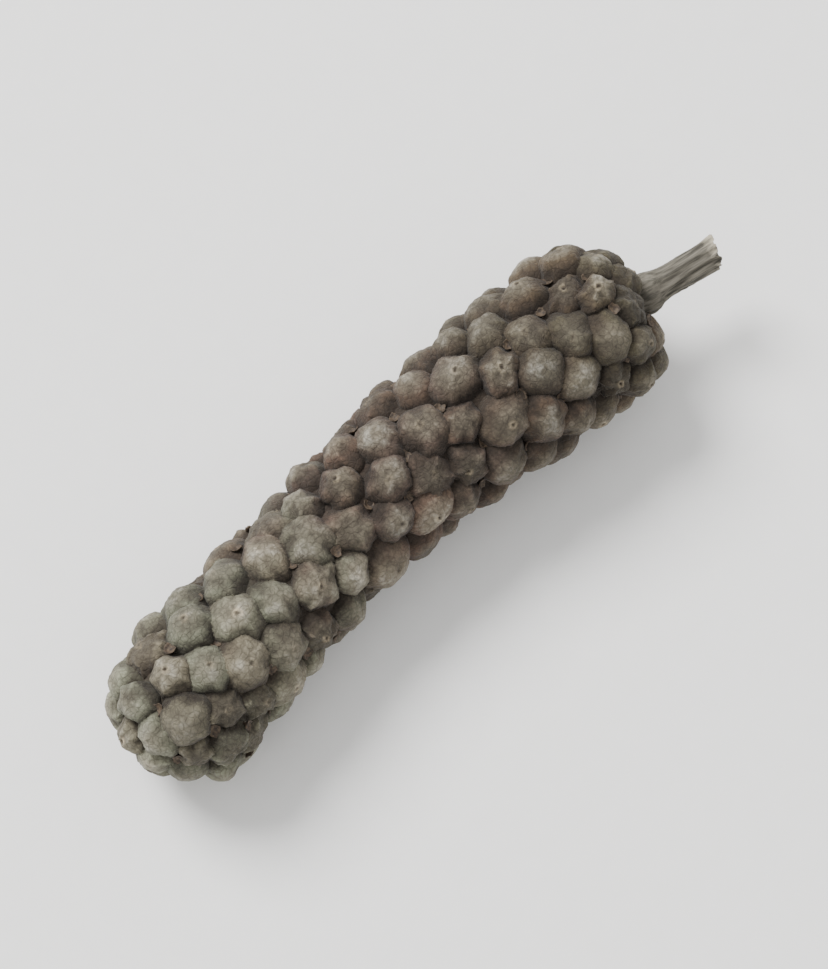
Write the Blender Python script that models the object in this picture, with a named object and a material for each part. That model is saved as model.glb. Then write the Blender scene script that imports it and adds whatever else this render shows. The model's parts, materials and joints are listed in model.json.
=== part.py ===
"""A dried long pepper, laid on its side.

The pepper is a spike of very small berries, grown together in spiral rows round one slender axis. Its blunt
tip points along -X and the stub of its stalk along +X, and it bows a little towards +Y. It rests on z = 0, on
the tips of its lowest berries, and the origin is under the middle of its box. Metres, +Z up.
"""

import math
import random

import bmesh
import bpy
import numpy as np
from mathutils import Matrix, Vector

MM = 0.001

# Driving dimensions
SPIKE_LENGTH = 21.5 * MM  # over the berries, from the tip to the shoulder round the stalk
SPIKE_WIDTH = 5.8 * MM  # across the berries, where the spike is thickest
BOW = 1.2 * MM  # how far the middle of the axis stands off the straight line between its ends
BERRY_PITCH = 1.5 * MM  # between the middles of neighbouring berries on the sides
STALK_WIDTH = 1.2 * MM
STALK_SHOWS = 2.4 * MM  # the stalk's length outside the spike

# The spike's outline, as shares of its length and of its half width
WAIST = 0.13  # how much thinner it is at its waist
WAIST_AT = 0.42
WAIST_REACH = 0.20
TIP_TAPER = 0.06  # how much thinner the tip end is than the stalk end
TIP_ROUND = 2.8 * MM  # the length of the rounded tip
SHOULDER_ROUND = 2.4 * MM
OUTLINE_POINTS = 1200

# How it lies
AXIS_RISE = 0.32 * MM  # the axis is this much lower at the tip, which is thinner, than at the stalk end
FIRST_TURN = math.radians(120)  # rolls it until berries near both ends, on both sides, are its lowest
PRESS_DEPTH = 0.18 * MM  # how far the lowest berries are pressed up, so that several of them touch

# The berries, as shares of their pitch
BERRY_HALF_WIDTH = 0.60
BERRY_DEPTH = 0.62  # from a berry's top to its middle
END_PITCH = 0.80  # of the berries at the two ends, which are smaller
END_REACH = 0.16  # how far in from each end they are smaller, as a share of the spike's length
SIZE_SPREAD = 0.08
SHIFT_SPREAD = 0.05
LIFT_SPREAD = 0.05
LEAN_SPREAD = math.radians(9)
GOLDEN_ANGLE = math.pi * (3 - math.sqrt(5))
SEED = 11

# The facets of one berry
BERRY_SIDES = 7
BERRY_RINGS = (math.radians(34), math.radians(66), math.radians(100))
BERRY_ROOT = 0.85  # how deep its root point lies under its middle, as a share of its depth

# The axis inside, which the berries stand out of
CORE_DEPTH = 0.72 * MM  # from the berries' tops down to the floor between them
CORE_SIDES = 16
CORE_RINGS = 18

# The stalk and its seat in the shoulder
STALK_SEAT = 1.3 * MM  # how deep the stalk reaches into the spike
STALK_GAP = 0.15 * MM
STALK_CLEAR = 0.25  # how far from the stalk's hole a berry's top must stand, as a share of the berry's pitch
STALK_RISE = 0.30 * MM  # how far its free end bends upwards
STALK_SLANT = 0.22 * MM  # its broken end is this much longer on one side
STALK_RIDGE = 0.10  # how far its lengthwise ridges stand out, as a share of its half width
STALK_WAIST = 0.12  # how much thinner it is half way along
STALK_SIDES = 10
STALK_RINGS = 9

SMOOTH_UNDER = math.radians(38)  # edges sharper than this stay sharp


def swell(share):
    """Half the spike's width at shares of its length, before its ends are rounded."""
    waist = WAIST * np.exp(-(((share - WAIST_AT) / WAIST_REACH) ** 2))
    return SPIKE_WIDTH / 2 * (1 - waist - TIP_TAPER * (1 - share))


def rounded(distance, reach):
    """1 inside the spike, falling to 0 at an end along a quarter of an ellipse `reach` long."""
    share = np.clip(distance / reach, 0, 1)
    return np.sqrt(1 - (1 - share) ** 2)


def outline():
    """The half outline over the berries' tops: x, radius, and the x and radius of its outward normal."""
    turn = np.linspace(0, math.pi, OUTLINE_POINTS)
    x = SPIKE_LENGTH * (1 - np.cos(turn)) / 2
    r = swell(x / SPIKE_LENGTH) * rounded(x, TIP_ROUND) * rounded(SPIKE_LENGTH - x, SHOULDER_ROUND)
    dx, dr = np.gradient(x), np.gradient(r)
    step = np.hypot(dx, dr)
    return x, r, -dr / step, dx / step


def sunk_outline(depth):
    """The half outline, this deep below the berries' tops: x and radius."""
    x, r, normal_x, normal_r = outline()
    return x - depth * normal_x, np.maximum(r - depth * normal_r, 0)


def along_outline(share, *columns):
    """What each of the outline's columns holds at a share of its points."""
    points = np.linspace(0, 1, OUTLINE_POINTS)
    return [float(np.interp(share, points, column)) for column in columns]


def axis_offset(x):
    """How far the bowed, slightly rising axis stands beside and above its start, this far from the tip."""
    return BOW * (1 - (2 * x / SPIKE_LENGTH - 1) ** 2), AXIS_RISE * x / SPIKE_LENGTH


def axis_start():
    """Where the axis starts: the pepper is centred on the origin, and z = 0 presses up its lowest berries."""
    x, r, _, _ = outline()
    beside, above = axis_offset(x)
    middle = (np.max(beside + r) + np.min(beside - r)) / 2
    return Vector((-(SPIKE_LENGTH + STALK_SHOWS) / 2, -middle, np.max(r - above) - PRESS_DEPTH))


START = axis_start()


def axis_frame(x):
    """A point on the axis at distance x from the tip, with the directions ahead, beside and above."""
    bow_slope = 4 * BOW / SPIKE_LENGTH * (1 - 2 * x / SPIKE_LENGTH)
    ahead = Vector((1, bow_slope, AXIS_RISE / SPIKE_LENGTH)).normalized()
    beside = Vector((0, 0, 1)).cross(ahead).normalized()
    return START + Vector((x, *axis_offset(x))), ahead, beside, ahead.cross(beside)


def around(centre, beside, above, radius, turn):
    return centre + radius * (math.cos(turn) * beside + math.sin(turn) * above)


def even_turns(sides, first=0.0):
    return [first + 2 * math.pi * i / sides for i in range(sides)]


def berry_places():
    """For each berry, its place along the outline, its pitch, and its turn round the axis.

    Each next berry is a golden angle further round, and far enough along to have its share of the surface.
    That packs them in spiral rows on the sides and over both ends.
    """
    x, r = sunk_outline(CORE_DEPTH / 2)
    from_end = np.minimum(x, SPIKE_LENGTH - x) / (END_REACH * SPIKE_LENGTH)
    pitch = BERRY_PITCH * (END_PITCH + (1 - END_PITCH) * np.clip(from_end, 0, 1))
    surface = 2 * math.pi * r * np.hypot(np.gradient(x), np.gradient(r))
    number = np.cumsum(surface / (pitch**2 * math.sqrt(3) / 2))
    for i in range(int(number[-1])):
        share = float(np.interp(i + 0.5, number, np.linspace(0, 1, OUTLINE_POINTS)))
        yield share, along_outline(share, pitch)[0], FIRST_TURN + i * GOLDEN_ANGLE


def berry_seats():
    """For each berry, its top, outward direction, half width, depth, lean and spin, slightly varied."""
    draw = random.Random(SEED)
    for share, pitch, turn in berry_places():
        x, r, normal_x, normal_r = along_outline(share, *outline())
        x += SHIFT_SPREAD * pitch * draw.uniform(-1, 1)
        turn += SHIFT_SPREAD * pitch / max(r, pitch) * draw.uniform(-1, 1)
        lift = LIFT_SPREAD * pitch * draw.uniform(-1, 1)
        size = pitch * (1 + SIZE_SPREAD * draw.uniform(-1, 1))
        lean = LEAN_SPREAD * draw.uniform(-1, 1)
        spin = draw.uniform(0, 2 * math.pi)
        near_stalk = x > SPIKE_LENGTH / 2 and r < STALK_WIDTH / 2 + STALK_GAP + STALK_CLEAR * size
        if near_stalk:
            continue
        point, ahead, beside, above = axis_frame(x)
        outward = math.cos(turn) * beside + math.sin(turn) * above
        normal = (normal_x * ahead + normal_r * outward).normalized()
        top = point + r * outward + lift * normal
        yield top, normal, BERRY_HALF_WIDTH * size, BERRY_DEPTH * size, lean, spin


def loft(name, rings, first, last):
    """A closed mesh through rings of points, coming to a point at each end."""
    bm = bmesh.new()
    start, end = bm.verts.new(first), bm.verts.new(last)
    rows = [[bm.verts.new(point) for point in ring] for ring in rings]
    for i in range(len(rows[0])):
        bm.faces.new((start, rows[0][i], rows[0][i - 1]))
        bm.faces.new((end, rows[-1][i - 1], rows[-1][i]))
        for row, following in zip(rows, rows[1:]):
            bm.faces.new((row[i - 1], row[i], following[i], following[i - 1]))
    bmesh.ops.recalc_face_normals(bm, faces=bm.faces)
    mesh = bpy.data.meshes.new(name)
    bm.to_mesh(mesh)
    bm.free()
    return mesh


def berry_mesh(top, normal, half_width, depth, lean, spin):
    """One berry: an egg of few sides, whose root runs to a point inside the axis."""
    middle = top - depth * normal
    side = normal.orthogonal().normalized()
    across = normal.cross(side)
    leaning = (normal + math.tan(lean) * side).normalized()
    rings = []
    for polar in BERRY_RINGS:
        centre = middle + depth * math.cos(polar) * leaning
        radius = half_width * math.sin(polar)
        rings.append([around(centre, side, across, radius, turn) for turn in even_turns(BERRY_SIDES, spin)])
    return loft("berry", rings, middle + depth * leaning, middle - BERRY_ROOT * depth * normal)


def press_up(berry):
    """Moves a berry that reaches below the surface up until its tip only touches it."""
    lowest = min(vertex.co.z for vertex in berry.vertices)
    berry.transform(Matrix.Translation((0, 0, max(-lowest, 0))))
    return berry


def core_mesh():
    """The slender axis: the spike's own outline, sunk to the floor between the berries."""
    x, r = sunk_outline(CORE_DEPTH)
    rings = []
    for share in np.linspace(0, 1, CORE_RINGS + 2).tolist()[1:-1]:
        place, radius = along_outline(share, x, r)
        point, _, beside, above = axis_frame(place)
        rings.append([around(point, beside, above, radius, turn) for turn in even_turns(CORE_SIDES)])
    return loft("axis and berries", rings, axis_frame(float(x[0]))[0], axis_frame(float(x[-1]))[0])


def stalk_frame(x):
    """The axis frame, bent upwards where the stalk is outside the spike."""
    point, ahead, beside, above = axis_frame(x)
    outside = max(x - SPIKE_LENGTH, 0) / STALK_SHOWS
    return point + STALK_RISE * outside**2 * above, ahead, beside, above


def stalk_mesh():
    """The stalk: ridged lengthwise, a little thinner half way along, and broken off at a slant."""
    rings = []
    for share in np.linspace(0, 1, STALK_RINGS).tolist():
        place = SPIKE_LENGTH - STALK_SEAT + share * (STALK_SEAT + STALK_SHOWS)
        centre, ahead, beside, above = stalk_frame(place)
        radius = STALK_WIDTH / 2 * (1 - STALK_WAIST * math.sin(math.pi * share))
        slant = STALK_SLANT / 2 if share == 1 else 0
        ring = []
        for i, turn in enumerate(even_turns(STALK_SIDES)):
            ridged = radius * (1 - STALK_RIDGE * (i % 2))
            ring.append(around(centre, beside, above, ridged, turn) + slant * (math.cos(turn) - 1) * ahead)
        rings.append(ring)
    end = stalk_frame(SPIKE_LENGTH + STALK_SHOWS - STALK_SLANT / 2)[0]
    return loft("stalk", rings, stalk_frame(SPIKE_LENGTH - STALK_SEAT)[0], end)


def stalk_hole_mesh():
    """The round hole in the shoulder that the stalk sits in, open beyond the berries."""
    floor, mouth = SPIKE_LENGTH - STALK_SEAT - STALK_GAP, SPIKE_LENGTH + SHOULDER_ROUND
    rings = []
    for place in np.linspace(floor, mouth, STALK_RINGS).tolist():
        point, _, beside, above = stalk_frame(place)
        radius = STALK_WIDTH / 2 + STALK_GAP
        rings.append([around(point, beside, above, radius, turn) for turn in even_turns(STALK_SIDES)])
    return loft("stalk hole", rings, stalk_frame(floor)[0], stalk_frame(mouth)[0])


def material(name, colour, roughness):
    made = bpy.data.materials.new(name)
    made.use_nodes = True
    shader = made.node_tree.nodes["Principled BSDF"]
    shader.inputs["Base Color"].default_value = (*colour, 1)
    shader.inputs["Roughness"].default_value = roughness
    shader.inputs["Metallic"].default_value = 0
    made.diffuse_color = (*colour, 1)
    return made


def new_object(name, mesh, parent):
    """An object of this mesh, in the scene and under the parent."""
    made = bpy.data.objects.new(name, mesh)
    made.parent = parent
    bpy.context.scene.collection.objects.link(made)
    return made


def finish(piece, skin):
    """Gives the piece its material, and shades it smooth but for the creases between berries and ridges."""
    piece.data.materials.clear()
    piece.data.materials.append(skin)
    piece.data.shade_smooth()
    piece.data.set_sharp_from_angle(angle=SMOOTH_UNDER)


def join_berries(core):
    """One solid of the axis and all the berries. The loose berries are then removed."""
    berries = bpy.data.collections.new("berries")
    for seat in berry_seats():
        berries.objects.link(bpy.data.objects.new("berry", press_up(berry_mesh(*seat))))
    join = core.modifiers.new("join berries", "BOOLEAN")
    join.operation = "UNION"
    join.operand_type = "COLLECTION"
    join.collection = berries
    core.data = bpy.data.meshes.new_from_object(core.evaluated_get(bpy.context.evaluated_depsgraph_get()))
    core.modifiers.clear()
    for berry in list(berries.objects):
        bpy.data.objects.remove(berry)
    bpy.data.collections.remove(berries)


def cut(target, name, cutter_mesh, parent):
    """Takes the cutter's shape away from the target."""
    cutter = new_object(name, cutter_mesh, parent)
    cutter.hide_render = True
    cutter.display_type = "WIRE"
    boolean = target.modifiers.new(name, "BOOLEAN")
    boolean.operation = "DIFFERENCE"
    boolean.object = cutter


def build_fruit_spike(parent):
    spike = new_object("fruit_spike", core_mesh(), parent)
    join_berries(spike)
    finish(spike, material("dried berry skin", (0.115, 0.096, 0.075), 0.85))
    cut(spike, "stalk hole", stalk_hole_mesh(), parent)


def build_stalk(parent):
    stalk = new_object("stalk", stalk_mesh(), parent)
    finish(stalk, material("dried stalk", (0.16, 0.145, 0.12), 0.80))


def main():
    for old in list(bpy.data.objects):
        bpy.data.objects.remove(old)
    pepper = bpy.data.objects.new("long_pepper", None)
    bpy.context.scene.collection.objects.link(pepper)
    build_fruit_spike(pepper)
    build_stalk(pepper)


main()
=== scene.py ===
# %% [markdown]
# # A dried long pepper
#
# A long pepper is the fruit spike of a climbing vine: very many tiny berries that grew together
# round one thin axis, picked green, and dried in the sun until they turned hard and grey-brown.
#
# This notebook dresses the plain solid model of one such pepper. The solid says where everything is
# and how large it is. Here each berry gets its wrinkled skin, its scar and its dust, and the stalk
# gets its fibres.

# %% Load the solid model
import json
import math
import random

import bmesh
import bpy
import numpy as np
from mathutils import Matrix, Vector, kdtree, noise

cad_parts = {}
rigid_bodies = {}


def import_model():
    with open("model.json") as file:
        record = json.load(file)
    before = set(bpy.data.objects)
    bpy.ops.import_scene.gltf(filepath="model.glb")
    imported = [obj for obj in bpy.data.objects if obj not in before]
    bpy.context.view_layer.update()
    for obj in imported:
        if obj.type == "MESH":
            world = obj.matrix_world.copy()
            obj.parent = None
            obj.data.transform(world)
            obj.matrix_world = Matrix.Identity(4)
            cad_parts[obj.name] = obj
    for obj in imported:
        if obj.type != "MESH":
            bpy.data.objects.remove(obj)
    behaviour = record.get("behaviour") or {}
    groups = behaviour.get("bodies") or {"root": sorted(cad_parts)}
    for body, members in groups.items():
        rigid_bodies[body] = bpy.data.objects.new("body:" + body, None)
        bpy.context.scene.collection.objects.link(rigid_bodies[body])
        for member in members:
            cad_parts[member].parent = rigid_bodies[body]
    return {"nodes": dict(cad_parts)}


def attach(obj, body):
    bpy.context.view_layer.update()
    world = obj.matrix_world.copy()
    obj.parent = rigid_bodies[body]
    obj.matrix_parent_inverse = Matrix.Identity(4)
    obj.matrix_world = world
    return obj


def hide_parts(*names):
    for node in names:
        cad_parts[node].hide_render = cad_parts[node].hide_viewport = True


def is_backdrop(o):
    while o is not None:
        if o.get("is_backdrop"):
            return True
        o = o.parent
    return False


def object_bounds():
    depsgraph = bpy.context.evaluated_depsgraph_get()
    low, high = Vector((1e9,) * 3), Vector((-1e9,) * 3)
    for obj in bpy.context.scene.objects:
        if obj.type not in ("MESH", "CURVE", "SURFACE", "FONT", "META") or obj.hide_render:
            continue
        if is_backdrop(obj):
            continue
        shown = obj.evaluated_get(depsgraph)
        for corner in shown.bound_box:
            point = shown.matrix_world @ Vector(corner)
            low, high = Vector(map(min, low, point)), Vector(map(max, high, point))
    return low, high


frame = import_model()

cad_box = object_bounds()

MM = 0.001


def in_mm(values, digits=2):
    """Lengths in millimetres, rounded for printing."""
    return [round(float(value) / MM, digits) for value in values]


print("solids:", sorted(frame["nodes"]), "box in mm:", [in_mm(corner) for corner in cad_box])

# %% [markdown]
# ## The spike's shape
#
# The spike is a long, blunt body with a slight waist and a slight bow. Its berries sit in spiral
# rows because the plant starts each new one a golden angle (137.5 degrees) further round than the
# last. The berries could be set by hand, but the plant's own rule and a few numbers give the place
# of every one, and they keep their rows all round. The numbers repeat the solid model's, so each
# fine berry lies on its plain one.

# %% The outline over the berries' tops
SPIKE_LENGTH = 21.5 * MM
SPIKE_WIDTH = 5.8 * MM  # at its thickest, over the berries
WAIST = 0.13  # how much thinner it is at the waist, as a share of its width
WAIST_AT, WAIST_REACH = 0.42, 0.20  # as shares of its length from the tip
TIP_TAPER = 0.06  # how much thinner it is at the tip end
TIP_ROUND = 2.8 * MM  # the length over which the tip rounds off
SHOULDER_ROUND = 2.4 * MM  # the same for the shoulder round the stalk
OUTLINE_POINTS = 1200


def outline():
    """x, radius, and the x and radius of the outward normal, from the tip to the stalk end."""
    turn = np.linspace(0, math.pi, OUTLINE_POINTS)
    x = SPIKE_LENGTH * (1 - np.cos(turn)) / 2
    share = x / SPIKE_LENGTH
    waist = WAIST * np.exp(-(((share - WAIST_AT) / WAIST_REACH) ** 2))
    tip = np.sqrt(1 - (1 - np.clip(x / TIP_ROUND, 0, 1)) ** 2)
    shoulder = np.sqrt(1 - (1 - np.clip((SPIKE_LENGTH - x) / SHOULDER_ROUND, 0, 1)) ** 2)
    r = SPIKE_WIDTH / 2 * (1 - waist - TIP_TAPER * (1 - share)) * tip * shoulder
    dx, dr = np.gradient(x), np.gradient(r)
    step = np.hypot(dx, dr)
    return x, r, -dr / step, dx / step


OUTLINE = outline()


def sunk_outline(depth):
    """x and radius of the outline, moved inwards by this depth."""
    x, r, normal_x, normal_r = OUTLINE
    return x - depth * normal_x, np.maximum(r - depth * normal_r, 0)


def along_outline(share, *columns):
    """The values of the outline's columns at a share of the way along it."""
    points = np.linspace(0, 1, OUTLINE_POINTS)
    return [float(np.interp(share, points, column)) for column in columns]


print("widest radius in mm:", in_mm([OUTLINE[1].max()]))

# %% The bowed axis
BOW = 1.2 * MM  # how far the middle stands beside the ends
AXIS_RISE = 0.32 * MM  # how much higher the stalk end lies than the tip
STALK_SHOWS = 2.4 * MM  # the stalk's length outside the spike
PRESS_DEPTH = 0.18 * MM  # how far the ground presses the lowest berries up


def axis_offset(x):
    """How far the axis is beside and above its start, this far from the tip."""
    return BOW * (1 - (2 * x / SPIKE_LENGTH - 1) ** 2), AXIS_RISE * x / SPIKE_LENGTH


def axis_start():
    """Where the axis starts, so that the pepper lies on the ground in the middle of its box."""
    x, r, _, _ = OUTLINE
    beside, above = axis_offset(x)
    middle = (np.max(beside + r) + np.min(beside - r)) / 2
    return Vector((-(SPIKE_LENGTH + STALK_SHOWS) / 2, -middle, np.max(r - above) - PRESS_DEPTH))


START = axis_start()


def axis_frame(x):
    """A point on the axis, this far from the tip, with the directions ahead, beside and above."""
    bow_slope = 4 * BOW / SPIKE_LENGTH * (1 - 2 * x / SPIKE_LENGTH)
    ahead = Vector((1, bow_slope, AXIS_RISE / SPIKE_LENGTH)).normalized()
    beside = Vector((0, 0, 1)).cross(ahead).normalized()
    return START + Vector((x, *axis_offset(x))), ahead, beside, ahead.cross(beside)


print("the axis starts at, in mm:", in_mm(START))

# %% The place of each berry
BERRY_PITCH = 1.5 * MM  # from one berry's middle to the next
END_PITCH = 0.80  # the pitch at both ends, as a share of the middle's
END_REACH = 0.16  # how far from an end the berries are smaller, as a share of the spike's length
CORE_DEPTH = 0.72 * MM  # how deep the flesh between the berries lies under their tops
GOLDEN_ANGLE = math.pi * (3 - math.sqrt(5))
FIRST_TURN = math.radians(120)


def berry_places():
    """Each berry's place along the outline, its pitch, and its turn round the axis.

    Packed like a honeycomb, each berry takes the square of its pitch, times half the root of 3. So the area
    from the tip up to a place gives the number of the berry there.
    """
    x, r = sunk_outline(CORE_DEPTH / 2)
    from_end = np.minimum(x, SPIKE_LENGTH - x) / (END_REACH * SPIKE_LENGTH)
    pitch = BERRY_PITCH * (END_PITCH + (1 - END_PITCH) * np.clip(from_end, 0, 1))
    surface = 2 * math.pi * r * np.hypot(np.gradient(x), np.gradient(r))
    number = np.cumsum(surface / (pitch**2 * math.sqrt(3) / 2))
    for i in range(int(number[-1])):
        share = float(np.interp(i + 0.5, number, np.linspace(0, 1, OUTLINE_POINTS)))
        yield share, along_outline(share, pitch)[0], FIRST_TURN + i * GOLDEN_ANGLE


print("places for berries:", len(list(berry_places())))

# %% Directions round a circle
def full_circle(count):
    """The turns of this many points, evenly spaced round a circle."""
    return [2 * math.pi * i / count for i in range(count)]


def at_turn(turn, side, across):
    """The direction that is this far round from one direction towards another."""
    return math.cos(turn) * side + math.sin(turn) * across


print("turns of 6 points:", [round(turn, 2) for turn in full_circle(6)])

# %% The berries' sizes, and how the lowest are pressed up
BERRY_HALF_WIDTH, BERRY_DEPTH = 0.60, 0.62  # as shares of a berry's size, which is about its pitch
SIZE_SPREAD, SHIFT_SPREAD, LIFT_SPREAD = 0.08, 0.05, 0.05  # how much they differ, as shares of the pitch
LEAN_SPREAD = math.radians(9)
STALK_WIDTH = 1.2 * MM
STALK_GAP, STALK_CLEAR = 0.15 * MM, 0.25  # berries stay this far from it, and this share of their size
PLAIN_SIDES = 7
PLAIN_RINGS = (math.radians(34), math.radians(66), math.radians(100))
SEED = 11


def plain_corners(berry):
    """The corners of the solid model's plain berry, each as an angle from its top and a turn round it."""
    yield 0, 0
    for polar in PLAIN_RINGS:
        for turn in full_circle(PLAIN_SIDES):
            yield polar, berry["spin"] + turn


def pressed_up(berry):
    """How far the ground pushes this berry up. It is the plain berry that touches it."""
    lowest = 0.0
    for polar, turn in plain_corners(berry):
        height = berry["depth"] * math.cos(polar) * berry["leaning"]
        width = berry["half_width"] * math.sin(polar) * at_turn(turn, berry["side"], berry["across"])
        lowest = min(lowest, (berry["middle"] + height + width).z)
    return -lowest


def berry_seats():
    """Each berry's middle, directions and size, with small seeded differences."""
    draw = random.Random(SEED)
    for share, pitch, turn in berry_places():
        x, r, normal_x, normal_r = along_outline(share, *OUTLINE)
        x += SHIFT_SPREAD * pitch * draw.uniform(-1, 1)
        turn += SHIFT_SPREAD * pitch / max(r, pitch) * draw.uniform(-1, 1)
        lift = LIFT_SPREAD * pitch * draw.uniform(-1, 1)
        size = pitch * (1 + SIZE_SPREAD * draw.uniform(-1, 1))
        lean = LEAN_SPREAD * draw.uniform(-1, 1)
        spin = draw.uniform(0, 2 * math.pi)
        near_stalk = x > SPIKE_LENGTH / 2 and r < STALK_WIDTH / 2 + STALK_GAP + STALK_CLEAR * size
        if near_stalk:
            continue
        point, ahead, beside, above = axis_frame(x)
        outward = at_turn(turn, beside, above)
        normal = (normal_x * ahead + normal_r * outward).normalized()
        side = normal.orthogonal().normalized()
        berry = {
            "normal": normal, "side": side, "across": normal.cross(side), "spin": spin,
            "half_width": BERRY_HALF_WIDTH * size, "depth": BERRY_DEPTH * size,
            "leaning": (normal + math.tan(lean) * side).normalized(),
        }
        berry["middle"] = point + r * outward + lift * normal - berry["depth"] * normal
        berry["middle"] += Vector((0, 0, pressed_up(berry)))
        yield berry


BERRIES = list(berry_seats())
print(len(BERRIES), "berries, the widest in mm:", in_mm([2 * max(b["half_width"] for b in BERRIES)]))

# %% [markdown]
# ## The skin of a berry
#
# A fresh berry is a smooth, round bead. As it dries it shrinks on its seed, so its skin falls into
# lumps, pleats that run from its top down its sides, and fine crinkles, and its top often sinks in.
# In the middle of the top is the scar of the flower: a small dark pit with a raised rim.
#
# A bump map alone would leave the outline of each bead perfectly round, so the larger of these
# forms are moved into the mesh. Each berry is a disc of triangles, finest at its top, wrapped over
# an egg. Six triangles meet in its middle and each ring has six more points than the last, so all
# the triangles are about the same size.

# %% How each berry dried
DRIED_SHIFT = 0.105 * MM
DRIED_SINK = 0.13 * MM
DRIED_SIZE, DRIED_SQUEEZE = 0.12, 0.10
SHRIVELLED_SHARE = 0.14  # of all berries
SUNKEN_TOP, SHRIVELLED_TOP = 0.10 * MM, 0.20 * MM
SUNKEN_LEAST = -0.6  # below 0, so that over a third of the tops aren't sunken
SUNKEN_OFF_CENTRE = 0.2
PLAIN_WRINKLES, SHRIVELLED_WRINKLES = (0.5, 1.2), (1.2, 1.6)
SCAR_STRENGTHS = (0.0, 0.35, 0.7, 1.0)
SCAR_OFF_CENTRE = 0.13 * MM
NOISE_APART = 40  # each berry takes its wrinkles from its own part of the noise
LOOKS_SEED = 29


def dry(berry, draw):
    """Moves and squeezes a berry a little, and draws what its skin looks like."""
    turned = at_turn(berry["spin"], berry["side"], berry["across"])
    berry["side"], berry["across"] = turned, berry["normal"].cross(turned)
    shift = draw.uniform(-1, 1) * berry["side"] + draw.uniform(-1, 1) * berry["across"]
    berry["middle"] += DRIED_SHIFT * shift
    berry["middle"] -= DRIED_SINK * draw.random() * berry["normal"]
    size = 1 + DRIED_SIZE * draw.uniform(-1, 1)
    squeeze = 1 + DRIED_SQUEEZE * draw.uniform(-1, 1)
    berry["half_widths"] = (berry["half_width"] * size * squeeze, berry["half_width"] * size / squeeze)
    shrivelled = draw.random() < SHRIVELLED_SHARE
    berry["sunken"] = SHRIVELLED_TOP if shrivelled else SUNKEN_TOP * max(draw.uniform(SUNKEN_LEAST, 1), 0)
    berry["sunken_at"] = Vector([draw.uniform(-SUNKEN_OFF_CENTRE, SUNKEN_OFF_CENTRE) for _ in range(2)])
    berry["wrinkled"] = draw.uniform(*(SHRIVELLED_WRINKLES if shrivelled else PLAIN_WRINKLES))
    berry["scar"] = draw.choice(SCAR_STRENGTHS)
    berry["scar_at"] = SCAR_OFF_CENTRE * Vector((draw.uniform(-1, 1), draw.uniform(-1, 1)))
    berry["pleats_at"] = draw.uniform(0, 2 * math.pi)
    berry["tone"] = draw.random()
    berry["warmth"] = draw.random()
    berry["noise_at"] = Vector([draw.uniform(-NOISE_APART, NOISE_APART) for _ in range(3)])
    return shrivelled


looks = random.Random(LOOKS_SEED)
print("shrivelled berries:", sum([dry(berry, looks) for berry in BERRIES]))

# %% The skin's height over the smooth egg
SHRINK = 0.035 * MM  # over the whole berry
LUMP_WIDTH, LUMP_HEIGHT = 0.62 * MM, 0.085 * MM
CRINKLE_WIDTH, CRINKLE_HEIGHT = 0.23 * MM, 0.034 * MM
GRAIN_WIDTH, GRAIN_HEIGHT = 0.10 * MM, 0.012 * MM
PLEATS, PLEAT_HEIGHT = 5, 0.045 * MM
CRINKLE_LEVEL, PLEAT_LEVEL = 0.6, 0.4  # taken off, so that they sink as well as rise
PLEAT_SWAY = 1.4  # how far the pleats wander sideways, in radians
PLEAT_RISE = 1.6  # how soon they reach their full height on the way down from the top
SUNKEN_REACH = math.radians(36)
SCAR_SIZE, SCAR_DEPTH = 0.055 * MM, 0.050 * MM
RIM_AT, RIM_HEIGHT = 2, 0.024 * MM  # the rim's radius is in scar sizes


def bell(distance, reach):
    """1 at no distance, and smoothly down to 0."""
    return math.exp(-((distance / reach) ** 2))


def skin_height(berry, place, beside, polar, turn):
    """How far the dried skin stands out from the egg, in metres. `beside` is the place seen from above."""
    height = LUMP_HEIGHT * noise.noise(place / LUMP_WIDTH + berry["noise_at"]) - SHRINK
    crinkles = 1 - 2 * abs(noise.noise(place / CRINKLE_WIDTH - berry["noise_at"]))
    height += berry["wrinkled"] * CRINKLE_HEIGHT * (crinkles - CRINKLE_LEVEL)
    height += berry["wrinkled"] * GRAIN_HEIGHT * noise.noise(place / GRAIN_WIDTH + berry["noise_at"])
    sway = PLEAT_SWAY * noise.noise(place / LUMP_WIDTH - berry["noise_at"])
    pleats = 1 - 2 * abs(math.sin(PLEATS / 2 * turn + berry["pleats_at"] + sway))
    down_the_side = math.sin(min(polar * PLEAT_RISE, math.pi / 2)) ** 2
    height += berry["wrinkled"] * PLEAT_HEIGHT * (pleats - PLEAT_LEVEL) * down_the_side
    from_hollow = (beside / berry["half_width"] - berry["sunken_at"]).length
    height -= berry["sunken"] * bell(from_hollow, SUNKEN_REACH)
    from_scar = (beside - berry["scar_at"]).length
    height -= berry["scar"] * SCAR_DEPTH * bell(from_scar, SCAR_SIZE)
    height += berry["scar"] * RIM_HEIGHT * bell(from_scar - RIM_AT * SCAR_SIZE, SCAR_SIZE)
    return height


print("a scar's depth and its rim's height, in mm:", in_mm([SCAR_DEPTH, RIM_HEIGHT], 3))

# %% What the paint will need to know
GAP_DEPTH = 0.62 * MM  # this far below its berry's top, the skin counts as deep in a gap
RELIEF_RANGE = 0.20 * MM  # between the deepest furrow and the highest ridge
SCAR_EDGE = 1.3  # the dark spot's radius, in scar sizes


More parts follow.
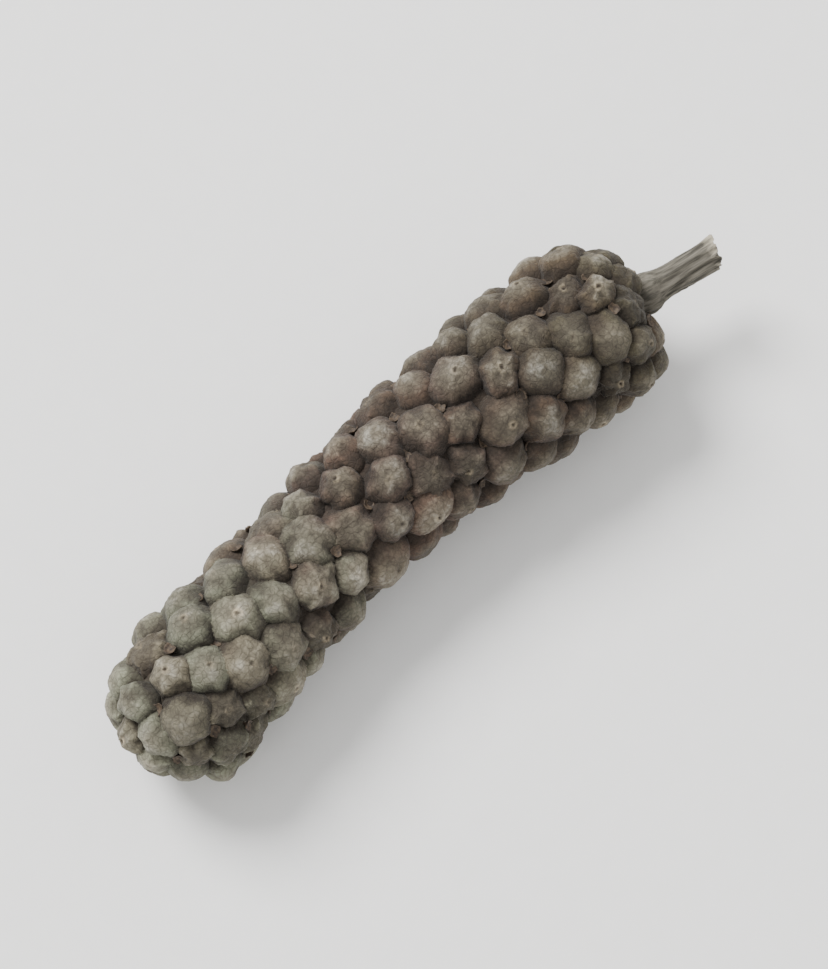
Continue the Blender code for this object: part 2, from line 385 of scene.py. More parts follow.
def skin_facts(berry, height, beside, polar):
    """How high, how rough and how scarred the skin is at this point, and what its berry is like."""
    from_scar = (beside - berry["scar_at"]).length / SCAR_SIZE
    on_top = berry["scar"] if polar < math.pi / 2 else 0
    return {
        "exposure": 1 - berry["depth"] * (1 - math.cos(polar)) / GAP_DEPTH,
        "relief": 0.5 + (height + SHRINK) / RELIEF_RANGE,
        "scar": on_top * math.exp(-((from_scar / SCAR_EDGE) ** 4)),
        "scar_rim": on_top * bell(from_scar - RIM_AT, 1),
        "tone": berry["tone"],
        "warmth": berry["warmth"],
    }


print("facts at the first berry's top:", skin_facts(BERRIES[0], 0, Vector((0, 0)), 0))

# %% One berry's mesh
DISC_RINGS = 17
DISC_REACH = math.radians(100)  # the angle from the berry's top to the disc's edge
DISC_CROWDING = 1.2  # over 1, so the rings are closer together at the top
BERRY_ROOT = 0.85  # how deep a berry's root is below its middle, as a share of its depth
SKIN_POINTS, SKIN_FACTS = [], []  # filled as the berries are made


def disc_point(ring, i):
    """The number of a point on a disc. The middle is number 0, and ring number k has 6k points."""
    return 1 + 3 * ring * (ring - 1) + i % (6 * ring) if ring else 0


def disc_faces(rings):
    """The triangles of such a disc."""
    faces = []
    for k in range(1, rings + 1):
        for sector in range(6):
            for i in range(k):
                inner, next_inner = (disc_point(k - 1, sector * (k - 1) + i + step) for step in (0, 1))
                outer, next_outer = (disc_point(k, sector * k + i + step) for step in (0, 1))
                faces.append((inner, outer, next_outer))
                if i < k - 1:
                    faces.append((inner, next_outer, next_inner))
    return faces


def fine_berry(berry):
    """A closed mesh: the wrinkled disc over the egg, closed to a root point inside the axis."""
    points = []
    for k in range(DISC_RINGS + 1):
        polar = DISC_REACH * (k / DISC_RINGS) ** DISC_CROWDING
        for turn in full_circle(max(6 * k, 1)):
            beside = math.sin(polar) * Vector((math.cos(turn) * berry["half_widths"][0],
                                               math.sin(turn) * berry["half_widths"][1]))
            place = berry["depth"] * math.cos(polar) * berry["leaning"]
            place += beside.x * berry["side"] + beside.y * berry["across"]
            height = skin_height(berry, place, beside, polar, turn)
            points.append(berry["middle"] + place + height * place.normalized())
            SKIN_POINTS.append(points[-1])
            SKIN_FACTS.append(skin_facts(berry, height, beside, polar))
    faces = disc_faces(DISC_RINGS)
    root = len(points)
    points.append(berry["middle"] - BERRY_ROOT * berry["depth"] * berry["normal"])
    edge = [disc_point(DISC_RINGS, i) for i in range(6 * DISC_RINGS)]
    faces += [(root, following, point) for point, following in zip(edge, edge[1:] + edge[:1])]
    mesh = bpy.data.meshes.new("berry")
    mesh.from_pydata(points, [], faces)
    return mesh


BERRY_MESHES = [fine_berry(berry) for berry in BERRIES]
print("triangles in one berry:", len(BERRY_MESHES[0].polygons))

# %% [markdown]
# ## The flesh between the berries
#
# Below their tops the berries share one flesh round the thin axis. It shows only as the dark floor
# of the deepest gaps. A plain tube would come too near the surface at the waist and at the ends, so
# it is lofted: rings of points along the spike's own outline, sunk by the depth of the gaps.

# %% The axis
CORE_SIDES = 48
CORE_RINGS = 110


def triangles(mesh):
    """How many triangles a mesh has, once its larger faces are cut up."""
    return sum(len(face.vertices) - 2 for face in mesh.polygons)


def ended(bm, name):
    """The mesh that was made in this bmesh."""
    mesh = bpy.data.meshes.new(name)
    bm.to_mesh(mesh)
    bm.free()
    return mesh


def loft(name, rings, first, last):
    """A closed mesh through rings of points, coming to a point at each end."""
    bm = bmesh.new()
    start, end = bm.verts.new(first), bm.verts.new(last)
    rows = [[bm.verts.new(point) for point in ring] for ring in rings]
    for i in range(len(rows[0])):
        bm.faces.new((start, rows[0][i], rows[0][i - 1]))
        bm.faces.new((end, rows[-1][i - 1], rows[-1][i]))
        for row, following in zip(rows, rows[1:]):
            bm.faces.new((row[i - 1], row[i], following[i], following[i - 1]))
    bmesh.ops.recalc_face_normals(bm, faces=bm.faces)
    return ended(bm, name)


def core_mesh():
    x, r = sunk_outline(CORE_DEPTH)
    rings = []
    for share in np.linspace(0, 1, CORE_RINGS + 2).tolist()[1:-1]:
        place, radius = along_outline(share, x, r)
        point, _, beside, above = axis_frame(place)
        rings.append([point + radius * at_turn(turn, beside, above) for turn in full_circle(CORE_SIDES)])
    return loft("fused berries", rings, axis_frame(float(x[0]))[0], axis_frame(float(x[-1]))[0])


def new_piece(name, data):
    """Puts a mesh, a light or a camera in the scene."""
    piece = bpy.data.objects.new(name, data)
    bpy.context.scene.collection.objects.link(piece)
    return piece


fused = new_piece("fused_berries", core_mesh())
print("triangles in the axis:", triangles(fused.data))

# %% [markdown]
# ## Growing the berries together
#
# The berries overlap each other and the axis, as they do on the plant. Remeshing the cluster as one
# lump would round off the creases between them. A Boolean union turns it into one closed skin and
# leaves a sharp crease wherever two berries meet, as on the real one.

# %% Join the berries
MERGE_UNDER = 0.004 * MM
CREASE_OVER = math.radians(42)  # edges sharper than this are shaded as creases


def join_berries(core):
    loose = bpy.data.collections.new("loose berries")
    for mesh in BERRY_MESHES:
        loose.objects.link(bpy.data.objects.new("berry", mesh))
    join = core.modifiers.new("join berries", "BOOLEAN")
    join.operation, join.solver = "UNION", "MANIFOLD"
    join.operand_type, join.collection = "COLLECTION", loose
    joined = core.evaluated_get(bpy.context.evaluated_depsgraph_get())
    core.data = bpy.data.meshes.new_from_object(joined)
    core.modifiers.clear()
    for berry in list(loose.objects):
        bpy.data.objects.remove(berry)
    bpy.data.collections.remove(loose)


def clean(mesh):
    """Merges points that nearly coincide, cuts the skin into triangles, and keeps it above the ground.

    A point where only two faces meet is dissolved first, because the cut would leave a flat fold beside it.
    """
    bm = bmesh.new()
    bm.from_mesh(mesh)
    bmesh.ops.remove_doubles(bm, verts=bm.verts, dist=MERGE_UNDER)
    bmesh.ops.dissolve_verts(bm, verts=[vertex for vertex in bm.verts if len(vertex.link_edges) == 2])
    bmesh.ops.triangulate(bm, faces=bm.faces)
    for vertex in bm.verts:
        vertex.co.z = max(vertex.co.z, 0)
    open_edges = sum(not edge.is_manifold for edge in bm.edges)
    bm.to_mesh(mesh)
    bm.free()
    return open_edges


join_berries(fused)
print("open edges:", clean(fused.data), "triangles:", triangles(fused.data))
fused.data.shade_smooth()
fused.data.set_sharp_from_angle(angle=CREASE_OVER)

# %% [markdown]
# ## What the paint needs to know
#
# Colour on the pepper follows its form: dust and rubbing make the tops pale, with a painted
# highlight on them too, the gaps are darkened with painted shade, the scars are darker still, and
# each berry dried to a slightly different brown. A material can't tell which berry it is on. These
# facts were noted for every point as the berries were made.
# The union kept those points, so each point of the joined skin looks up the nearest noted one, and
# keeps its facts as attributes that the paint can read.

# %% Facts kept on the skin
def keep_facts(mesh):
    noted = kdtree.KDTree(len(SKIN_POINTS))
    for i, point in enumerate(SKIN_POINTS):
        noted.insert(point, i)
    noted.balance()
    nearest = [noted.find(vertex.co)[1] for vertex in mesh.vertices]
    for name in SKIN_FACTS[0]:
        values = [SKIN_FACTS[i][name] for i in nearest]
        mesh.attributes.new(name, "FLOAT", "POINT").data.foreach_set("value", np.clip(values, 0, 1))


keep_facts(fused.data)
print("facts kept:", list(SKIN_FACTS[0]))

# %% [markdown]
# ## The bracts
#
# Every berry grew above a tiny scale leaf, its bract: a round, cupped disc on a thin foot, like a
# nail with a wide head. When the berries swell, the bracts are squeezed down into the gaps between
# them, and many break off. Those that are left are dark and papery, and most of them are so deep
# that only their rims are seen.
#
# They could be strewn at random, but then some would cut through the berries. Each is placed by
# asking for room: of a few spots on the stalk side of its berry, the one furthest from all the
# other berries' skins is taken, and if even that one is too tight, the bract has broken off.

# %% Where there is room for a bract
BRACT_SHARE = 0.58  # of the berries have kept theirs, if there is room for it
BRACT_BELOW_TOP = 0.58 * MM
BRACT_FROM_BERRY = 0.84 * MM
BRACT_ROOM = -0.12 * MM  # below 0, so its middle may lie this deep in a neighbour
BRACT_SPOTS = range(-60, 61, 10)  # degrees to either side of the stalkward direction
BRACT_LEAN, BRACT_TILT = 0.35, 0.2  # the lean is away from its berry, and the tilt is random
BRACT_RADIUS = (0.15, 0.21)  # in mm
SIDEWAYS = 0.3  # a berry that faces along the spike more than this has no stalk side
NEIGHBOUR_REACH = 3  # in half widths
BRACTS_SEED = 43


def room_at(point, own):
    """How far this point is outside the nearest other berry's egg, in metres."""
    rooms = []
    for other in BERRIES:
        place = point - other["middle"]
        if other is own or place.length > NEIGHBOUR_REACH * other["half_width"]:
            continue
        scaled = Vector((place.dot(other["side"]) / other["half_widths"][0],
                         place.dot(other["across"]) / other["half_widths"][1],
                         place.dot(other["normal"]) / other["depth"]))
        rooms.append((scaled.length - 1) * other["half_width"])
    return min(rooms)


def bract_seats():
    """The place, direction, radius and turn of each bract that is left."""
    draw = random.Random(BRACTS_SEED)
    seats = []
    for berry in BERRIES:
        height = berry["depth"] - BRACT_BELOW_TOP
        stalkward = Vector((1, 0, 0)) - berry["normal"] * berry["normal"].x
        if draw.random() > BRACT_SHARE or stalkward.length < SIDEWAYS:
            continue
        stalkward.normalize()
        beside = berry["normal"].cross(stalkward)
        spots = []
        for degrees in BRACT_SPOTS:
            outward = at_turn(math.radians(degrees), stalkward, beside)
            point = berry["middle"] + height * berry["normal"] + BRACT_FROM_BERRY * outward
            spots.append((room_at(point, berry), tuple(point), tuple(outward)))
        room, point, outward = max(spots)
        tilt = Vector([draw.uniform(-BRACT_TILT, BRACT_TILT) for _ in range(3)])
        size, turn = draw.uniform(*BRACT_RADIUS) * MM, draw.uniform(0, 2 * math.pi)
        if room > BRACT_ROOM:
            facing = (berry["normal"] + BRACT_LEAN * Vector(outward) + tilt).normalized()
            seats.append((Vector(point), facing, size, turn))
    return seats


BRACT_SEATS = bract_seats()
print("bracts left:", len(BRACT_SEATS))

# %% The bracts' mesh
BRACT_SIDES = 20
BRACT_THICK = 0.035 * MM
BRACT_CUP = 0.075 * MM  # how far the rim stands above the middle
BRACT_PROFILE = ((0.30, 0.06), (0.60, 0.30), (0.85, 0.75), (1.0, 1.0))  # shares of radius and cup
BRACT_BACK = 0.98  # the back's share of the radius, which slopes the rim
BRACT_FOOT, BRACT_FOOT_LENGTH = 0.05 * MM, 0.45 * MM
WIDE_WAVE, FINE_WAVE = 0.10, 0.06  # of the rim: three wide waves and seven fine ones
WAVE_LIFT = 0.5  # how much the waves also lift the rim, as a share of the cup


def skin_over(bm, rings, first, last=None):
    """Puts faces over rings that go down from a first point, and closes them to a last one if given."""
    rows = [[bm.verts.new(point) for point in ring] for ring in rings]
    start = bm.verts.new(first)
    end = bm.verts.new(last) if last else None
    for i in range(len(rows[0])):
        bm.faces.new((start, rows[0][i - 1], rows[0][i]))
        if end:
            bm.faces.new((end, rows[-1][i], rows[-1][i - 1]))
        for row, following in zip(rows, rows[1:]):
            bm.faces.new((row[i], row[i - 1], following[i - 1], following[i]))


def add_bract(bm, point, facing, size, turn):
    """A cupped disc with a wavy rim and a foot, as one closed skin."""
    side = facing.orthogonal().normalized()
    across = facing.cross(side)
    circle = full_circle(BRACT_SIDES)
    wave = [1 + WIDE_WAVE * math.sin(3 * t + turn) + FINE_WAVE * math.sin(7 * t - turn) for t in circle]

    def ring(radius, height, waved=True):
        places = []
        for t, swing in zip(circle, wave):
            reach = radius * (swing if waved else 1)
            lifted = height * (1.0 + WAVE_LIFT * (swing - 1) / (WIDE_WAVE + FINE_WAVE))
            places.append(point + reach * at_turn(t, side, across) + lifted * facing)
        return places

    rings = [ring(size * share, BRACT_CUP * rise) for share, rise in BRACT_PROFILE]
    rings += [ring(size * share * BRACT_BACK, BRACT_CUP * rise - BRACT_THICK)
              for share, rise in reversed(BRACT_PROFILE[1:])]
    rings += [ring(BRACT_FOOT, -BRACT_THICK, False), ring(BRACT_FOOT, -BRACT_FOOT_LENGTH, False)]
    skin_over(bm, rings, point, point - (BRACT_FOOT_LENGTH + BRACT_FOOT) * facing)


def bracts_mesh():
    bm = bmesh.new()
    for seat in BRACT_SEATS:
        add_bract(bm, *seat)
    return ended(bm, "bracts")


bracts = new_piece("bracts", bracts_mesh())
bracts.data.shade_smooth()
print("triangles in the bracts:", triangles(bracts.data))

# %% [markdown]
# ## The stalk
#
# The spike was picked by its stalk, which snapped off short. A dried stalk is a stiff bundle of
# fibres: ridges run along it, its skin shrinks between them, and its broken end is ragged. Separate
# fibres would show gaps that the bark closes on the real one, so it is one skin, lofted from rings
# of points: the ridges are the same waves on every ring, and the last rings tear the bundle into
# uneven ends.

# %% The stalk's line
STALK_SEAT = 1.3 * MM  # its length inside the spike
STALK_RISE = 0.30 * MM  # how far its end is bent up


def stalk_frame(share):
    """The axis frame at a share of the stalk's length, bent upwards outside the spike."""
    x = SPIKE_LENGTH - STALK_SEAT + share * (STALK_SEAT + STALK_SHOWS)
    point, ahead, beside, above = axis_frame(x)
    outside = max(x - SPIKE_LENGTH, 0) / STALK_SHOWS
    return point + STALK_RISE * outside**2 * above, ahead, beside, above


print("the stalk ends at, in mm:", in_mm(stalk_frame(1)[0]))

# %% The stalk's rings
STALK_SIDES = 96
STALK_WAIST = 0.12  # how much thinner it is in its middle
STALK_FLARE, FLARE_AT, FLARE_REACH = 0.16 * MM, 0.30, 0.10  # it widens where it enters the spike
RIDGES, RIDGE_HEIGHT = 9, 0.060 * MM
RIDGE_TWIST, RIDGE_WANDER = 0.25, 0.32  # all together and each on its own, in radians
RIDGE_MEAN, RIDGE_SPREAD = 0.62, 0.7  # some stand higher than others
FIBRE_WIDTH, FIBRE_HEIGHT = 0.06 * MM, 0.014 * MM
BUMP_ON_STALK = 0.035 * MM
STALK_SLANT = 0.22 * MM  # of the broken end
TEAR_LENGTH, TORN_FROM, TORN_REACH = 0.26 * MM, 0.85, 0.15  # the tear starts at this share of the length


def noise_at(place, height):
    """Noise at a place round the bundle. Heights far apart have nothing in common."""
    return noise.noise(Vector((*place, height)))


def stalk_ring(share, narrowing=1.0, sink=0.0):
    """One ring of the stalk. Narrowing and sink are for the rings of its broken face.

    In each noise, the factors set how fast it changes, and what is added keeps it apart from the others.
    """
    centre, ahead, beside, above = stalk_frame(share)
    ring = []
    for turn in full_circle(STALK_SIDES):
        around = Vector((math.cos(turn), math.sin(turn)))
        sway = RIDGE_TWIST * noise_at((share * 3, 4.1), 0)
        sway += RIDGE_WANDER * noise_at(around * 1.2, share * 1.5 + 6)
        ridge = 1 - 2 * abs(math.sin(RIDGES / 2 * (turn + sway)))
        ridge *= RIDGE_MEAN + RIDGE_SPREAD * noise_at(around * 1.6, share + 17)
        fibre = noise_at(around * STALK_WIDTH / 2 / FIBRE_WIDTH, share * 2.2)
        bump = noise_at(around * 1.3, share * 5 + 9)
        radius = STALK_WIDTH / 2 * (1 - STALK_WAIST * math.sin(math.pi * share)) - RIDGE_HEIGHT
        radius += STALK_FLARE * bell(share - FLARE_AT, FLARE_REACH)
        radius += RIDGE_HEIGHT * ridge + FIBRE_HEIGHT * fibre + BUMP_ON_STALK * bump
        torn = TEAR_LENGTH * (0.5 + 0.5 * noise_at(around * 4.5, 2.7))
        slant = STALK_SLANT / 2 * (math.cos(turn) - 1)
        back = (torn - slant) * max(share - TORN_FROM, 0) / TORN_REACH
        place = radius * narrowing * at_turn(turn, beside, above)
        ring.append(centre + place - (back + sink) * ahead)
    return ring


print("points on one ring:", len(stalk_ring(0)))

# %% The stalk's mesh
STALK_RINGS = 90
END_RINGS = (0.94, 0.86, 0.76, 0.64, 0.50, 0.34, 0.17)  # of the broken face, as shares of its radius
END_DISH, FRAY = 0.16 * MM, 0.05 * MM  # the face is hollow and uneven
FIBRE_STRETCH = 10  # a pattern is this much longer along the fibres than across them


def stalk_mesh():
    rings = [stalk_ring(share) for share in np.linspace(0, 1, STALK_RINGS).tolist()]
    for narrowing in END_RINGS:
        frayed = FRAY * noise_at((narrowing * 20, 1.5), 0)
        rings.append(stalk_ring(1, narrowing, END_DISH * (1 - narrowing) + frayed))
    last = stalk_frame(1)[0] - (TEAR_LENGTH / 2 + STALK_SLANT / 2 + END_DISH) * axis_frame(SPIKE_LENGTH)[1]
    return loft("stalk fibres", rings, stalk_frame(0)[0], last)


def keep_fibre_places(mesh):
    """Keeps each point's place in the bundle, shortened along the fibres, and its share of the length."""
    places, shares = [], []
    for vertex in mesh.vertices:
        share = (vertex.co.x - START.x - SPIKE_LENGTH + STALK_SEAT) / (STALK_SEAT + STALK_SHOWS)
        centre, _, beside, above = stalk_frame(share)
        from_centre = vertex.co - centre
        places += [from_centre.dot(beside), from_centre.dot(above), vertex.co.x / FIBRE_STRETCH]
        shares.append(share)
    mesh.attributes.new("fibre_place", "FLOAT_VECTOR", "POINT").data.foreach_set("vector", places)
    mesh.attributes.new("toward_end", "FLOAT", "POINT").data.foreach_set("value", shares)


stalk = new_piece("broken_stalk", stalk_mesh())
stalk.data.shade_smooth()
keep_fibre_places(stalk.data)
print("triangles in the stalk:", triangles(stalk.data))

# %% [markdown]
# ## Colours and nodes
#
# A colour picked on a screen is an sRGB value, and a shader works with linear light, so every
# colour below is a hex value that one function turns to linear. One more helper adds a node with
# its settings and its links, which keeps each material short enough to read from top to bottom.

# %% Helpers for the materials
def linear(hex_colour):
    """The linear colour of an sRGB hex value such as #A39D90."""
    parts = [int(hex_colour[i:i + 2], 16) / 255 for i in (1, 3, 5)]
    return [p / 12.92 if p <= 0.04045 else ((p + 0.055) / 1.055) ** 2.4 for p in parts] + [1.0]


def add_node(material, kind, *inputs, into=None, **settings):
    """Adds a node with its settings and its links.

    Inputs are numbers, colours or other nodes, in the order of the node's own sockets. A setting with a
    small first letter is an option, and one with a capital is the input of that name. `into` is the socket
    that the node feeds.
    """
    tree = material.node_tree
    node = tree.nodes.new("ShaderNode" + kind)
    for name, value in settings.items():
        if name[0].islower():
            setattr(node, name, value)
    sockets = [socket for socket in node.inputs if socket.enabled]
    named = {socket.name.replace(" ", "_"): socket for socket in reversed(sockets)}
    pairs = list(zip(sockets, inputs))
    pairs += [(named[name], value) for name, value in settings.items() if name[0].isupper()]
    for socket, value in pairs:
        if isinstance(value, bpy.types.Node):
            value = next(output for output in value.outputs if output.enabled)
        if isinstance(value, bpy.types.NodeSocket):
            tree.links.new(value, socket)
        else:
            socket.default_value = value
    if into:
        tree.links.new(next(output for output in node.outputs if output.enabled), into)
    return node


def new_material(name, **settings):
    """A material and its shader, with the values that are the same all over it."""
    material = bpy.data.materials.new(name)
    material.use_nodes = True
    shader = material.node_tree.nodes["Principled BSDF"]
    for socket, value in settings.items():
        shader.inputs[socket.replace("_", " ")].default_value = value
    return material, shader


def dress(piece, material):
    """Puts a material on a piece, in place of the empty one that a union leaves."""
    piece.data.materials.clear()
    piece.data.materials.append(material)
    print(material.name, "has", len(material.node_tree.nodes), "nodes")


print("#A39D90 in linear light:", [round(c, 3) for c in linear("#A39D90")])

# %% [markdown]
# ## Dried berry skin
#
# The skin is a thin, hard, matte husk, dried in the sun. It has no shine of its own: what the eye
# sees is a dark brown to olive-grey body, a pale bloom of dust where the tops were rubbed, which
# also carries a painted highlight, and near-black gaps of painted shade where no light gets in.
# Reddish berries were riper when they were picked, and the olive ones less ripe.
#
# One even brown would look like clay. Three layers make the colour: a slow one drifts along the
# spike and from berry to berry, and also paints light that makes the tip end paler, one follows the
# form (painted shade in the gap, flank, top with a painted highlight, and scar), and a fine one
# breaks both up into specks. The mesh carries the wrinkles, and a bump adds only the grain that is
# finer than its triangles.

# %% The colours of the skin
# Painted shade: this near-black colour goes into the gaps, the furrows and the creases.
PAINTED_SHADE_COLOUR = linear("#261F19")
# The paler tip and the darker middle of this drift are partly painted light.
FLANK_DRIFT = ((0.16, linear("#6E6E5D")), (0.44, linear("#53453C")), (0.86, linear("#4B4535")))
WARM_FLANK = linear("#594334")
# Paler tops and dust: real rubbing and dust, with a painted highlight as well.
TOP_AND_HIGHLIGHT_COLOUR = linear("#736D5E")
DUST_AND_HIGHLIGHT_COLOUR = linear("#B7B3A7")
SCAR_COLOUR = linear("#2B231B")
RIM_COLOUR = linear("#93866F")
# The gaps' colour printed here is painted shade.
print(f"the gaps reflect {PAINTED_SHADE_COLOUR[1]:.1%} of the light, and the dust {DUST_AND_HIGHLIGHT_COLOUR[1]:.1%}")

# %% The scales of the skin's patterns
BLOTCH_WIDTH = 1.1 * MM  # patches of riper and less ripe skin, nearly as wide as a berry
DUST_WIDTH = 0.38 * MM  # clouds of dust, a few to a berry
CREASE_WIDTH = 0.20 * MM  # the cells in the net of fine creases
CREASE_SWAY = 0.22 * MM  # how far the creases wander, so that the cells don't look like tiles
CREASE_HEIGHT = 0.014 * MM
CREASE_LINE = 0.16  # a crease's half width, as a share of a cell
SPECK_WIDTH = 0.10 * MM  # coarser than the real 0.03 mm, so that the specks show
GRAIN_BUMP_WIDTH = 0.045 * MM  # the skin's cells, also coarser than the real 0.02 mm
BUMP_HEIGHT = 0.022 * MM
print("creases across a berry:", round(BERRY_PITCH / CREASE_WIDTH, 1))

# %% Where each layer of colour starts and ends
# Each gives two readings, and how much of the layer there is at the first and at the second.
RIPER = (0.6, 1.0, 0.0, 0.5)
# The pale tops and the dust on the ridges also carry a painted highlight.
TOPS_AND_HIGHLIGHT = (0.72, 1.12, 0.0, 0.64)
DUST_AND_HIGHLIGHT_RIDGES = (0.42, 0.78, 0.0, 1.0)
DUST_CLOUDS = (0.42, 0.62, 0.0, 1.0)
# Painted shade in the furrows, the creases and the gaps.
FURROW_SHADE = (0.50, 0.10, 0.0, 0.65)
CREASE_SHADE = (1.0, 0.0, 0.0, 0.30)
GAP_SHADE = (0.68, 0.25, 0.0, 0.80)
BERRY_TONES = (0.0, 1.0, 0.70, 1.16)
# Painted light: paler at the tip end, darker at the stalk end.
TIP_PAINTED_LIGHT = (-SPIKE_LENGTH / 2, SPIKE_LENGTH / 2, 1.16, 0.90)
SPECK_TONES = (0.3, 0.7, 0.78, 1.20)
BLOTCH_SHIFT, DRIFT_START = 0.6, 0.2  # together they put half the spike's length at half the drift
SPECK_HEIGHT = 0.30  # how much the specks roughen the limits of the tops and the gaps
print("tones of the darkest and the palest berry:", BERRY_TONES[2:])


# %% The skin material
def skin_material():
    skin, shader = new_material("sun_dried_berry_skin", Roughness=0.85, Specular_IOR_Level=0.25,
                                Sheen_Weight=0.05, Sheen_Roughness=0.6)
    fact = {name: add_node(skin, "Attribute", attribute_name=name).outputs["Fac"] for name in SKIN_FACTS[0]}
    place = add_node(skin, "TexCoord").outputs["Object"]
    along = add_node(skin, "SeparateXYZ", place)
    blotches = add_node(skin, "TexNoise", Vector=place, Scale=1 / BLOTCH_WIDTH, Detail=3.0, Roughness=0.55)
    clouds = add_node(skin, "TexNoise", Vector=place, Scale=1 / DUST_WIDTH, Detail=4.0, Roughness=0.6)
    specks = add_node(skin, "TexNoise", Vector=place, Scale=1 / SPECK_WIDTH, Detail=3.0, Roughness=0.65)
    fine = add_node(skin, "TexNoise", Vector=place, Scale=1 / GRAIN_BUMP_WIDTH, Detail=2.0, Roughness=0.6)
    swayed = add_node(skin, "TexNoise", Vector=place, Scale=1 / DUST_WIDTH, Detail=2.0).outputs["Color"]
    swayed = add_node(skin, "VectorMath", swayed, (CREASE_SWAY,) * 3, place, operation="MULTIPLY_ADD")
    creases = add_node(skin, "TexVoronoi", Vector=swayed, Scale=1 / CREASE_WIDTH,
                       feature="DISTANCE_TO_EDGE")
    creases = add_node(skin, "MapRange", creases, 0.0, CREASE_LINE, interpolation_type="SMOOTHSTEP")

    # The flanks drift from olive grey at the tip through brown to olive brown, and the paler tip and darker
    # middle are partly painted light. Riper berries are redder.
    drift = add_node(skin, "Math", blotches, BLOTCH_SHIFT, DRIFT_START, operation="MULTIPLY_ADD")
    drift = add_node(skin, "Math", along.outputs["X"], 1 / SPIKE_LENGTH, drift, operation="MULTIPLY_ADD")
    flank = add_node(skin, "ValToRGB", drift)
    flank.color_ramp.elements.new(0.5)
    for stop, (share, paint) in zip(flank.color_ramp.elements, FLANK_DRIFT):
        stop.position, stop.color = share, paint
    riper = add_node(skin, "MapRange", fact["warmth"], *RIPER)

    # The tops are paler, partly from rubbing and partly as a painted highlight, and dust that also carries
    # a painted highlight lies in clouds on their ridges.
    height = add_node(skin, "Math", specks, SPECK_HEIGHT, fact["exposure"], operation="MULTIPLY_ADD")
    on_top = add_node(skin, "MapRange", height, *TOPS_AND_HIGHLIGHT)
    ridge = add_node(skin, "MapRange", fact["relief"], *DUST_AND_HIGHLIGHT_RIDGES)
    cloud = add_node(skin, "MapRange", clouds, *DUST_CLOUDS)
    dust_and_highlight = add_node(skin, "Math", ridge, cloud, operation="MULTIPLY")
    dust_and_highlight = add_node(skin, "Math", dust_and_highlight, on_top, operation="MULTIPLY")

    # The furrows, the creases and the gaps are darkened with painted shade, and the scar is dark inside its
    # pale rim.
    furrow_shade = add_node(skin, "MapRange", fact["relief"], *FURROW_SHADE)
    crease_shade = add_node(skin, "MapRange", creases, *CREASE_SHADE)
    gap_shade = add_node(skin, "MapRange", height, *GAP_SHADE)
    rim = add_node(skin, "Math", fact["scar_rim"], cloud, operation="MULTIPLY")

    # Each layer goes over the ones before it.
    colour = flank
    for amount, paint in ((riper, WARM_FLANK), (on_top, TOP_AND_HIGHLIGHT_COLOUR), (dust_and_highlight, DUST_AND_HIGHLIGHT_COLOUR),
                          (furrow_shade, PAINTED_SHADE_COLOUR), (crease_shade, PAINTED_SHADE_COLOUR), (gap_shade, PAINTED_SHADE_COLOUR),
                          (rim, RIM_COLOUR), (fact["scar"], SCAR_COLOUR)):
        colour = add_node(skin, "Mix", amount, colour, paint, data_type="RGBA")

    # Each berry has its own tone, painted light makes the tip end palest and the stalk end darkest, and
    # fine specks break it all up.
    tone = add_node(skin, "MapRange", fact["tone"], *BERRY_TONES)
    tip_painted_light = add_node(skin, "MapRange", along.outputs["X"], *TIP_PAINTED_LIGHT)
    tone = add_node(skin, "Math", tone, tip_painted_light, operation="MULTIPLY")
    grain = add_node(skin, "MapRange", specks, *SPECK_TONES)
    value = add_node(skin, "Math", tone, grain, operation="MULTIPLY")
    add_node(skin, "HueSaturation", Value=value, Color=colour, into=shader.inputs["Base Color"])

    rough = add_node(skin, "Math", specks, fine, operation="ADD")
    grainy = add_node(skin, "Bump", Height=rough, Distance=BUMP_HEIGHT, Strength=0.8)
    add_node(skin, "Bump", Height=creases, Distance=CREASE_HEIGHT, Strength=0.7, Normal=grainy,
             into=shader.inputs["Normal"])
    return skin


dress(fused, skin_material())

# %% [markdown]
# ## Dry bract
#
# A bract is a paper-thin dry leaf. It is as brown as the skin but has no dust on it, and it is a
# little glossier because it is smooth. Its veins could be drawn one by one, but it is so small and
# lies so deep that the eye makes out no more than a noise between two browns.

# %% The bract material
BRACT_GRAIN_WIDTH = 0.09 * MM  # coarser than the real 0.03 mm, so that the veins show
BRACT_GRAIN_HEIGHT = 0.010 * MM
BRACT_DARK, BRACT_PALE = linear("#2C241D"), linear("#594B3C")
BRACT_TONES = (0.35, 0.68)  # the noise at which it is all dark, and all pale


def bract_material():
    leaf, shader = new_material("papery_dry_bract", Roughness=0.68, Specular_IOR_Level=0.35)
    place = add_node(leaf, "TexCoord").outputs["Object"]
    grain = add_node(leaf, "TexNoise", Vector=place, Scale=1 / BRACT_GRAIN_WIDTH, Detail=3.0, Roughness=0.6)
    shade = add_node(leaf, "MapRange", grain, *BRACT_TONES)
    add_node(leaf, "Mix", shade, BRACT_DARK, BRACT_PALE, data_type="RGBA", into=shader.inputs["Base Color"])
    add_node(leaf, "Bump", Height=grain, Distance=BRACT_GRAIN_HEIGHT, Strength=0.7,
             into=shader.inputs["Normal"])
    return leaf


dress(bracts, bract_material())

# %% [markdown]
# ## Dried stalk
#
# The stalk is a bundle of plant fibre under a thin grey bark. Its furrows are darker, and its
# broken end is the palest thing on the whole pepper, because those fibres never saw the sun. A
# pattern drawn in the room's own directions would cross the fibres where they bend, so this one is
# drawn in the bundle's own coordinates, which are kept on its points.

